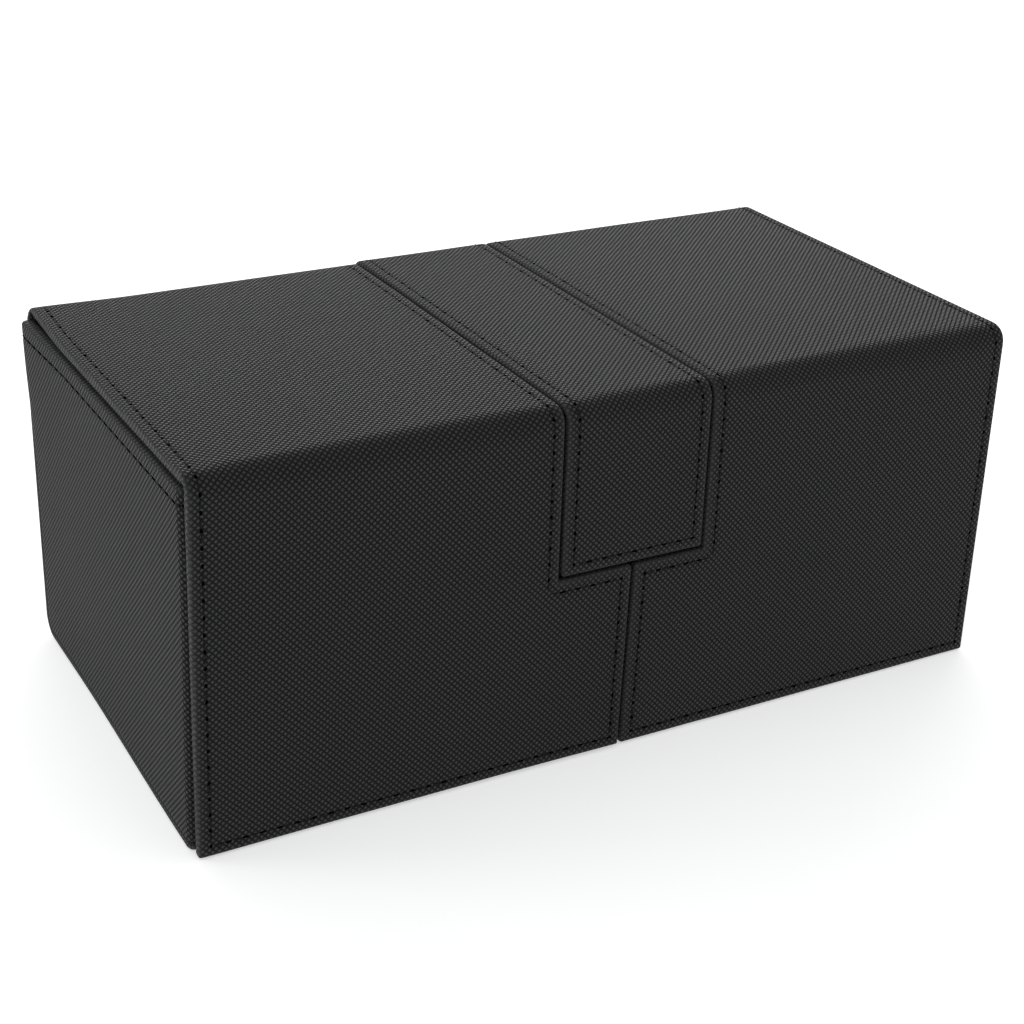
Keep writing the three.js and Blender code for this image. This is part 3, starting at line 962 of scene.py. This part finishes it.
WALL_BOTTOM = 1.95  # the end covers begin above the turned edge of the bottom
WALL_BACK = BACK_Y - WALL_BOTTOM
WALL_CORNER = 2.0
WALL_STITCH_Z = 82.0
BASE_TURN_DEPTH = 1.85
FAR = 9.0  # from any row of stitches
BASE_PATH = Path(
    (CASE_FRONT, 0),
    0,
    straight(BACK_Y - CASE_FRONT - HEEL_RADIUS),
    quarter(HEEL_RADIUS),
    straight(SEAM_Z - HEEL_RADIUS),
)
WALL_PATH = Path(
    (-HALF_X, WALL_BACK),
    270,
    straight(WALL_BACK - CASE_FRONT - WALL_CORNER),
    quarter(WALL_CORNER),
    straight(2 * HALF_X - 2 * WALL_CORNER),
    quarter(WALL_CORNER),
    straight(WALL_BACK - CASE_FRONT - WALL_CORNER),
)


def lean(x, y, z):
    """How far the front left corner of the case stands out to the left near the bottom."""
    return 1.1 * smooth(-x / HALF_X) * smooth((30 - y) / 82) * smooth(1 - z / 70)


def base_place(u, s, n):
    """The sheet under the box and up its back, with s counted down from the hinges."""
    p, normal = BASE_PATH.at(np.asarray(s, float) + BASE_PATH.length)
    p = p + normal * np.asarray(n, float)[:, None]
    narrowing = (HALF_X - LID_OUTER) / HALF_X * smooth(np.asarray(s) / 16 + 1)
    x = u * (1 - narrowing)
    return np.stack([x - lean(x, p[:, 0], p[:, 1]), p[:, 0], p[:, 1]], 1)


def wall_place(u, s, n):
    """The sheet round the ends and the front, with u along it and s its height."""
    u, s, n = np.asarray(u, float), np.asarray(s, float), np.asarray(n, float)
    from_back = np.minimum(u, WALL_PATH.length - u)
    # The ends stand out at the top near the back, and are a little hollow in the middle.
    bulge = smooth(1 - from_back / 34) * smooth((s - 46) / 36)
    hollow = 0.25 * smooth(from_back / 20) * smooth((95 - from_back) / 20)
    hollow = hollow * smooth(s / 20) * smooth((WALL_TOP - s) / 20)
    p, normal = WALL_PATH.at(u)
    outer = np.clip(1 + n / TURN_DEPTH, 0, 1)  # the rim inside the top edge stays on the board
    p = p + normal * (n + bulge * outer - hollow)[:, None]
    return np.stack([p[:, 0] - lean(p[:, 0], p[:, 1], s), p[:, 1], s], 1)


def build_base_cover():
    """The sheet under the box and up its back, with its stitching."""
    length = BASE_PATH.length
    heel = -(SEAM_Z - HEEL_RADIUS) - HEEL_RADIUS * math.pi / 2
    bends = fold_lines(heel, heel + HEEL_RADIUS * math.pi / 2, 10)
    u_lines = lines(-HALF_X, HALF_X, 6.0)
    s_lines = lines(-length, 0, 6.0, from_high=False, extra=bends)
    slit = (LID_INNER + STRAP_HALF) / 2
    beside = slit - STRAP_HALF + STITCH_INSET
    i = STITCH_INSET
    # Rows up the sides of the back, and a short row under the end of each slit.
    side_rows = [[(x, -0.5), (x, -SEAM_Z + HEEL_RADIUS)] for x in (-HALF_X + i, HALF_X - i)]
    slit_rows = []
    for x in (-slit, slit):
        slit_rows.append([(x - beside, 0.0), (x - beside, -i), (x + beside, -i), (x + beside, 0.0)])
    rows = [stitch for row in side_rows + slit_rows for stitch in stitch_row(row)]

    base = sheet_mesh(
        "back_and_bottom_cover",
        u_lines,
        s_lines,
        lambda u, s: True,
        lambda u, s: np.minimum.reduce([u + HALF_X, HALF_X - u, s + length]),
        lambda u, s: np.abs(HALF_X - np.abs(u) - i) + FAR * (s < -SEAM_Z + HEEL_RADIUS),
        base_place,
        corners=[(-HALF_X, -length, 1, 1), (HALF_X, -length, -1, 1)],
        corner_radius=WALL_CORNER,
        turn_depth=BASE_TURN_DEPTH,
    )
    wear(base, COVER)
    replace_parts(base, "back_cover", "bottom_cover")
    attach(base, "case")
    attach(stitching("back_stitches", rows, base_place), "case")
    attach(needle_hole_shades("back_needle_hole_shades", rows, base_place), "case")


def build_wall_cover():
    """The sheet round the ends and the front, with its stitching."""
    around = WALL_PATH.length
    first = WALL_BACK - CASE_FRONT - WALL_CORNER
    turn = WALL_CORNER * math.pi / 2
    bends = fold_lines(first, first + turn, 8) + fold_lines(around - first - turn, around - first, 8)
    u_lines = lines(0, around, 5.0, extra=bends)
    s_lines = lines(WALL_BOTTOM, WALL_TOP, 5.0)
    s_lines = np.unique(np.append(s_lines, [WALL_STITCH_Z + k for k in (-0.8, -0.4, 0, 0.4, 0.8)]))
    walls = sheet_mesh(
        "front_and_end_cover",
        u_lines,
        s_lines,
        lambda u, s: True,
        lambda u, s: np.minimum.reduce([u, around - u, s - WALL_BOTTOM, WALL_TOP - s]),
        lambda u, s: np.abs(s - WALL_STITCH_Z),
        wall_place,
        corners=[(0, WALL_BOTTOM, 1, 1), (around, WALL_BOTTOM, -1, 1)],
        corner_radius=HEEL_RADIUS - WALL_BOTTOM,
    )
    wear(walls, COVER)
    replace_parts(walls, "front_cover", "left_end_cover", "right_end_cover")
    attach(walls, "case")
    rows = stitch_row([(1.5, WALL_STITCH_Z), (around - 1.5, WALL_STITCH_Z)])
    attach(stitching("wall_stitches", rows, wall_place), "case")
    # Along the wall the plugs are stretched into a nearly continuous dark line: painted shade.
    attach(needle_hole_shades("wall_needle_hole_shades", rows, wall_place, level_reach=1.7), "case")


build_base_cover()
build_wall_cover()


# ---------------------------------------------------------------- the inside

PLAN_RADIUS = 1.6  # of the linings' upright corners
FLOOR_RADIUS = 1.4
CLOTH = 0.6


def tub(name, low, high):
    """A compartment's lining, open at the top, with rounded corners. low and high are its inner faces."""
    centre = (np.array(low[:2]) + np.array(high[:2])) / 2
    half = (np.array(high[:2]) - np.array(low[:2])) / 2
    outline = []
    straight_x, straight_y = half - PLAN_RADIUS
    for k, (sx, sy) in enumerate(((1, 1), (-1, 1), (-1, -1), (1, -1))):
        for j in range(6):
            a = math.radians(90 * k + 18 * j)
            outline.append((sx * straight_x, sy * straight_y, math.cos(a), math.sin(a)))
    levels = [(high[2], 0.0)]
    count = 12
    for k in range(1, count + 1):
        levels.append((high[2] + (low[2] + FLOOR_RADIUS - high[2]) * k / count, 0.0))
    for k in range(1, 6):
        a = math.radians(18 * k)
        levels.append((low[2] + FLOOR_RADIUS * (1 - math.sin(a)), FLOOR_RADIUS * (1 - math.cos(a))))
    vertices = []
    for z, inset in levels:
        radius = PLAN_RADIUS - inset
        for cx, cy, dx, dy in outline:
            vertices.append((centre[0] + cx + radius * dx, centre[1] + cy + radius * dy, z))
    n = len(outline)
    faces = []
    for level in range(len(levels) - 1):
        for k in range(n):
            a, b = level * n + k, level * n + (k + 1) % n
            faces.append([a, b, b + n, a + n])
    faces.append([(len(levels) - 1) * n + k for k in range(n)])
    obj = new_object(name, vertices, faces)
    recalculate_normals(obj)
    obj.data.update()
    floor = obj.data.polygons[len(faces) - 1]
    if floor.normal.z < 0:
        obj.data.flip_normals()
    thicken(obj, CLOTH)
    wear(obj, LINING)
    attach(obj, "case")
    return obj


def partition_binding(name, x):
    """The strip of lining turned over the top of a partition."""
    half, reach = 1.6, 7.0  # half its width, and how far it comes down
    flatness = 0.85
    profile = [(-half, -reach)]
    for k in range(13):
        a = math.radians(180 - 15 * k)
        profile.append((half * math.cos(a), half * math.sin(a) * flatness))
    profile.append((half, -reach))
    top = WALL_TOP - flatness * half
    stations = np.linspace(lining_low[1] + 0.7, lining_high[1] - 0.7, 24)
    vertices = [(x + px, y, top + pz) for y in stations for px, pz in profile]
    n = len(profile)
    faces = []
    for i in range(len(stations) - 1):
        for k in range(n - 1):
            a = i * n + k
            faces.append([a, a + 1, a + n + 1, a + n])
    obj = new_object(name, vertices, faces)
    outward_facing(obj)
    thicken(obj, 0.45)
    wear(obj, LINING)
    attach(obj, "case")


def softened(node, name, width, material):
    """A copy of a moulded CAD piece with its edges rounded."""
    mesh = frame["nodes"][node].data.copy()
    obj = bpy.data.objects.new(name, mesh)
    bpy.context.scene.collection.objects.link(obj)
    bm = bmesh.new()
    bm.from_mesh(mesh)
    bmesh.ops.remove_doubles(bm, verts=bm.verts, dist=1e-6)
    bmesh.ops.dissolve_limit(bm, angle_limit=math.radians(1), verts=bm.verts, edges=bm.edges)
    bm.to_mesh(mesh)
    bm.free()
    bevel = obj.modifiers.new("rounded", "BEVEL")
    bevel.width = width * MM
    bevel.segments = 3
    bevel.limit_method = "ANGLE"
    bevel.angle_limit = math.radians(32)
    apply_modifiers(obj)
    obj.data.shade_smooth()
    weighted = obj.modifiers.new("shading", "WEIGHTED_NORMAL")
    weighted.keep_sharp = True
    apply_modifiers(obj)
    wear(obj, material)
    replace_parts(obj, node)
    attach(obj, "case")


lining_low, lining_high = node_box("left_lining")
partition_low, partition_high = node_box("right_partition")
PARTITION_X = (partition_low[0] + partition_high[0]) / 2
inner_low = lining_low + CLOTH
inner_high = lining_high - CLOTH
middle_half = partition_low[0] - 0.15 - CLOTH
rim = BOARD_TOP - 0.05
for side, from_x, to_x in (
    ("left", inner_low[0], inner_high[0]),
    ("right", -inner_high[0], -inner_low[0]),
    ("middle", -middle_half, middle_half),
):
    low, high = (from_x, inner_low[1], inner_low[2]), (to_x, inner_high[1], rim)
    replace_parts(tub(f"{side}_compartment_lining", low, high), f"{side}_lining")
partition_binding("left_partition_binding", -PARTITION_X)
partition_binding("right_partition_binding", PARTITION_X)
softened("lift_out_tray", "moulded_tray", 0.45, TRAY)
softened("left_divider", "left_card_divider", 0.22, DIVIDER)
softened("right_divider", "right_card_divider", 0.22, DIVIDER)

finishes = {
    "cover": COVER,
    "lining": LINING,
    "greyboard": BOARD,
    "magnet": MAGNET,
    "keeper_steel": KEEPER,
    "tray": TRAY,
    "divider": DIVIDER,
}
for part in frame["record"]["subparts"]:
    for material_slot in frame["nodes"][part["node"]].material_slots:
        material_slot.material = finishes[part["material_slot"]]


# ---------------------------------------------------------------- floor, light and camera

def stage():
    """A plain pale floor."""
    size = 6.0
    corners = [(-size, -size, 0), (size, -size, 0), (size, size, 0), (-size, size, 0)]
    floor_mesh = bpy.data.meshes.new("floor")
    floor_mesh.from_pydata(corners, [], [(0, 1, 2, 3)])
    floor = bpy.data.objects.new("floor", floor_mesh)
    floor.location.z = -0.0002  # just clear of the box's underside
    bpy.context.scene.collection.objects.link(floor)
    m = Nodes("pale_floor")
    m.finish((0.85, 0.85, 0.85), 0.9)
    m.shader.inputs["Emission Color"].default_value = (1, 1, 1, 1)
    m.shader.inputs["Emission Strength"].default_value = 0.45
    floor.data.materials.append(m.material)
    floor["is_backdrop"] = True


def area_light(name, at, size, power, toward=(0, 0, 0.04)):
    data = bpy.data.lights.new(name, "AREA")
    data.shape = "RECTANGLE"
    data.size, data.size_y = size
    data.energy = power
    light = bpy.data.objects.new(name, data)
    light.location = at
    light.rotation_euler = (Vector(toward) - Vector(at)).to_track_quat("-Z", "Y").to_euler()
    bpy.context.scene.collection.objects.link(light)


def studio():
    """Soft daylight all round, with a large softbox behind the box and a small one at its left."""
    world = bpy.data.worlds.new("studio")
    world.use_nodes = True
    background = world.node_tree.nodes["Background"]
    background.inputs["Color"].default_value = (0.99, 0.995, 1.0, 1)
    background.inputs["Strength"].default_value = 0.75
    bpy.context.scene.world = world
    area_light("back_softbox", (0.55, 1.3, 0.6), (2.2, 0.6), 13.0)
    area_light("left_softbox", (-1.2, 0.6, 0.5), (0.5, 0.5), 3.0)
    bpy.context.scene.view_settings.view_transform = "Standard"
    bpy.context.scene.view_settings.look = "None"


def camera():
    """The photo's viewpoint."""
    azimuth, elevation, roll = math.radians(-29.36), math.radians(24.79), math.radians(1.81)
    distance, target = 0.4914, Vector((-0.0006, 0, 0.04522))
    turn = Euler((math.pi / 2 - elevation, 0, azimuth)).to_matrix() @ Matrix.Rotation(roll, 3, "Z")
    data = bpy.data.cameras.new("camera")
    data.lens, data.sensor_width = 69.04, 36.0
    data.shift_x, data.shift_y = 0.0019, -0.0295
    data.clip_start = 0.01
    obj = bpy.data.objects.new("camera", data)
    obj.matrix_world = Matrix.Translation(target + turn @ Vector((0, 0, distance))) @ turn.to_4x4()
    bpy.context.scene.collection.objects.link(obj)
    bpy.context.scene.camera = obj


stage()
studio()
camera()
